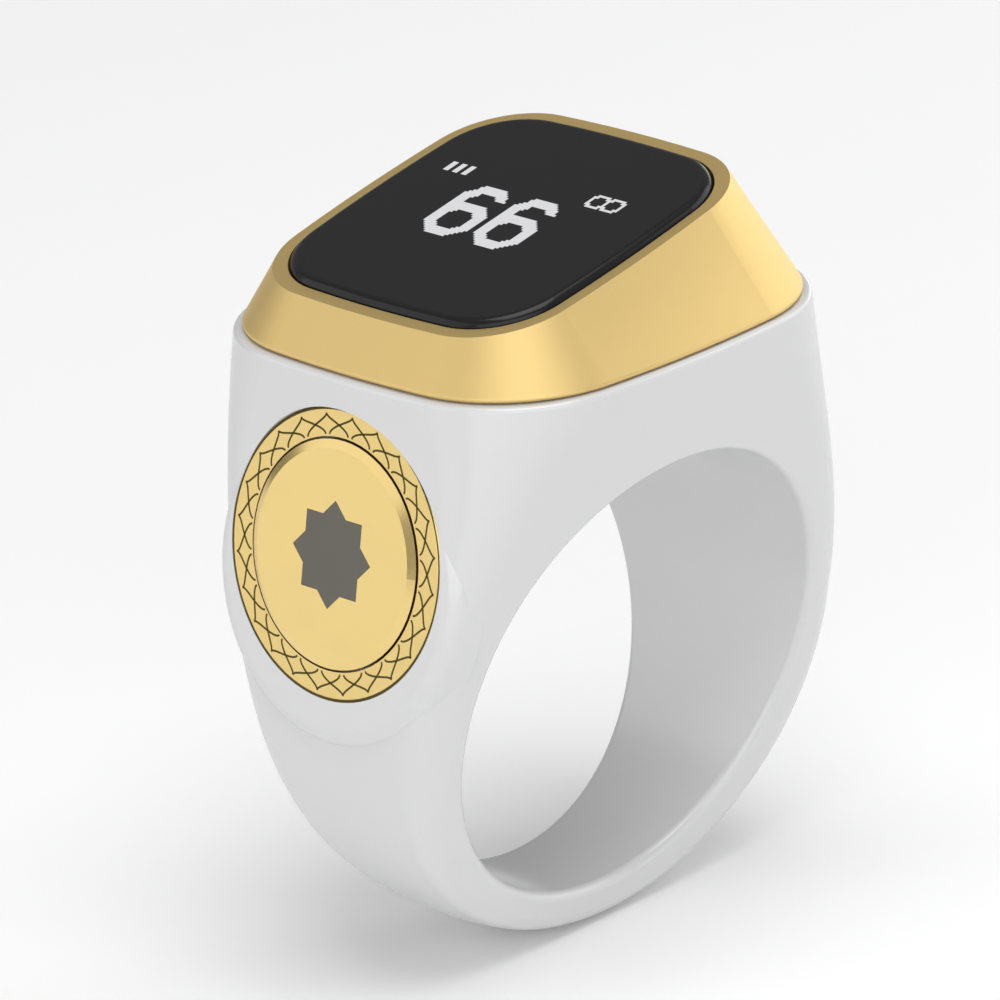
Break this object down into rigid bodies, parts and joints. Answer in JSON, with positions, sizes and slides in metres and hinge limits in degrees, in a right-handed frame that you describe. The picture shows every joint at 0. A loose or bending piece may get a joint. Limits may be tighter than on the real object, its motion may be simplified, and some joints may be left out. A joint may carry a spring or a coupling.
{
  "type": "digital tasbih counter",
  "caption": "Finger-worn digital tasbih counter: white signet band, tilted gold bezel with a dark display window, and a round gold press button on its side.",
  "frame": {"origin": "centre of the finger bore, on its axis, midway between the front and back faces", "axes": "+Y along the finger bore, +Z from the bore to the display, and the press button on the -X side"},
  "size_m": [0.0255, 0.0202, 0.0326],
  "materials": {
    "housing_white": "gloss",
    "gold_satin": "satin gold anodised",
    "gold_polished": "polished gold plate",
    "window_black": "gloss",
    "seal_rubber": "matte",
    "foam_grey": "matte",
    "adhesive": "matte",
    "clear_bond": "clear",
    "panel_glass": "gloss",
    "chip_black": "matte",
    "flex_amber": "satin",
    "board_green": "satin",
    "ceramic": "matte",
    "steel": "satin",
    "pouch_foil": "satin",
    "contact_gold": "polished",
    "emblem_grey": "satin",
    "switch_black": "satin"
  },
  "bodies": {
    "ring": {"ring_body": "housing_white", "bezel": "gold_satin", "medallion_ring": "gold_polished", "display_window": "window_black", "bezel_gasket": "seal_rubber", "contact_seals": "seal_rubber", "battery_pad": "foam_grey", "battery_foam": "foam_grey", "motor_pad": "foam_grey", "window_tape": "adhesive", "medallion_bond": "adhesive", "optical_bond": "clear_bond", "panel_cover_glass": "panel_glass", "panel_substrate": "panel_glass", "display_driver": "chip_black", "radio_processor": "chip_black", "charge_controller": "chip_black", "panel_flex": "flex_amber", "charge_flex": "flex_amber", "switch_flex": "flex_amber", "main_board": "board_green", "chip_antenna": "ceramic", "board_passives": "ceramic", "display_connector": "ceramic", "timing_crystal": "steel", "motor_case": "steel", "motor_base": "steel", "motor_shaft": "steel", "switch_bracket": "steel", "battery_tabs": "steel", "battery_cell": "pouch_foil", "charge_contacts": "contact_gold", "switch_housing": "switch_black"},
    "button": {"button_cap": "gold_polished", "button_emblem": "emblem_grey", "button_oring": "seal_rubber", "button_clip": "steel"},
    "switch_plunger": {"switch_plunger": "switch_black"},
    "motor_rotor": {"motor_rotor": "steel"}
  },
  "joints": [
    {"name": "button_press", "type": "slide", "parent": "ring", "child": "button", "axis": [0.9781, 0, -0.2079], "range_m": [0, 0.00025], "stiffness_N_per_m": 4000, "springref_m": -0.00015},
    {"name": "plunger_press", "type": "slide", "parent": "ring", "child": "switch_plunger", "axis": [0.9781, 0, -0.2079], "range_m": [0, 0.00025]},
    {"name": "motor_spin", "type": "hinge", "parent": "ring", "child": "motor_rotor", "pos_m": [0.007, 0, 0.01147], "axis": [1, 0, 0], "continuous": true}
  ],
  "couplings": [
    {"joint": "plunger_press", "follows": "button_press", "ratio": 1}
  ]
}
